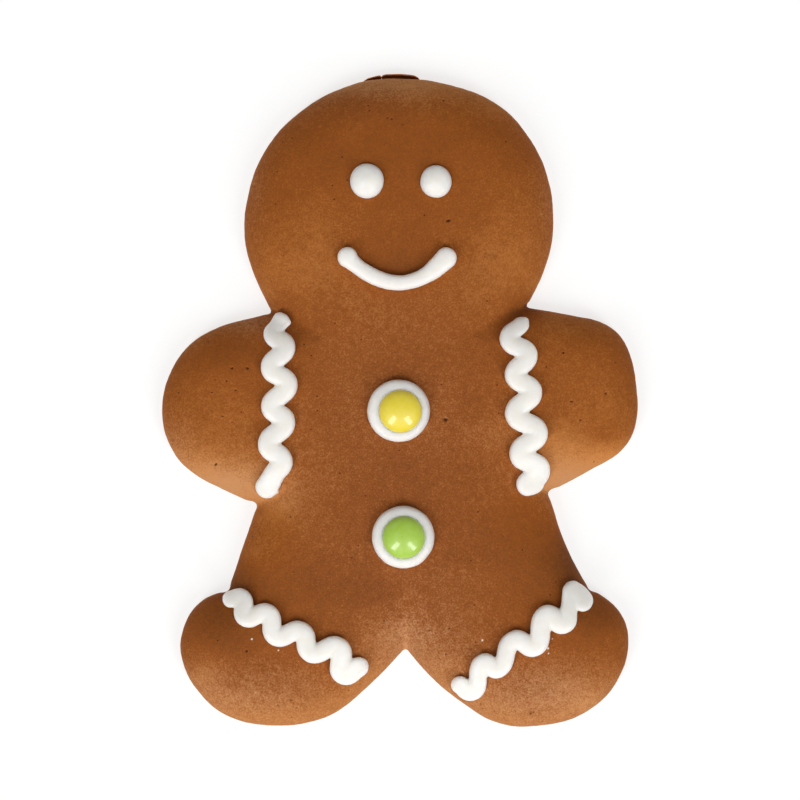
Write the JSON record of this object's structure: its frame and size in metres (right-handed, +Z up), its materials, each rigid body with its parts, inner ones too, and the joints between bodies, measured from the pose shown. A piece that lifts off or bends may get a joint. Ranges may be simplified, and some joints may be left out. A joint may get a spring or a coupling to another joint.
{
  "type": "gingerbread man cookie",
  "caption": "Thick, puffed gingerbread man that lies on its back, with piped icing eyes, smile, zigzag trims and sugar-shelled chocolate lentils in icing as buttons.",
  "frame": {"origin": "middle of the bounding box's bottom, on the flat baked base", "axes": "+Z up out of the decorated front, +Y towards the top of the head, +X towards the right of someone who looks down on it with the head away from them"},
  "size_m": [0.1388, 0.1901, 0.0233],
  "materials": {
    "gingerbread": "matte baked crust of soft gingerbread",
    "icing": "dried royal icing, satin",
    "yellow_shell": "sugar shell of a chocolate lentil, polished",
    "green_shell": "sugar shell of a chocolate lentil, polished"
  },
  "bodies": {
    "root": {"gingerbread": "gingerbread", "left_eye": "icing", "right_eye": "icing", "smile": "icing", "left_arm_icing": "icing", "right_arm_icing": "icing", "left_leg_icing": "icing", "right_leg_icing": "icing", "upper_button_icing": "icing", "lower_button_icing": "icing", "upper_button_candy": "yellow_shell", "lower_button_candy": "green_shell"}
  },
  "joints": []
}
